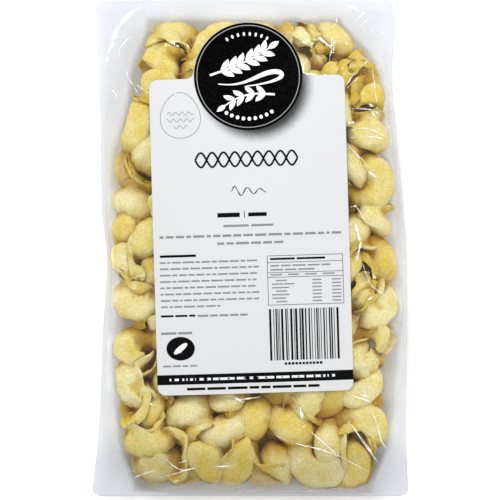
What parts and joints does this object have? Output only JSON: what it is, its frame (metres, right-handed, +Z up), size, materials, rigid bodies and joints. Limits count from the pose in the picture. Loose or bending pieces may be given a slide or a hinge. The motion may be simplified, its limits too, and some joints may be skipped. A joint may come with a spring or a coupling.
{
  "type": "pouch of fresh tortellini",
  "caption": "Clear sealed plastic pouch of fresh tortellini lying on its back, with one large white paper label that has a round dark badge at its top edge.",
  "frame": {"origin": "centre of the bounding box's underside, on the surface that the pouch lies on", "axes": "+X to the right of the label as it is read, +Y towards the top of the label, +Z up through the front of the pouch"},
  "size_m": [0.158, 0.249, 0.0372],
  "materials": {
    "filled_film": "clear gloss film over pale egg pasta",
    "label_paper": "semi-gloss white paper with black print"
  },
  "bodies": {
    "root": {"pouch": "filled_film", "label": "label_paper"}
  },
  "joints": []
}
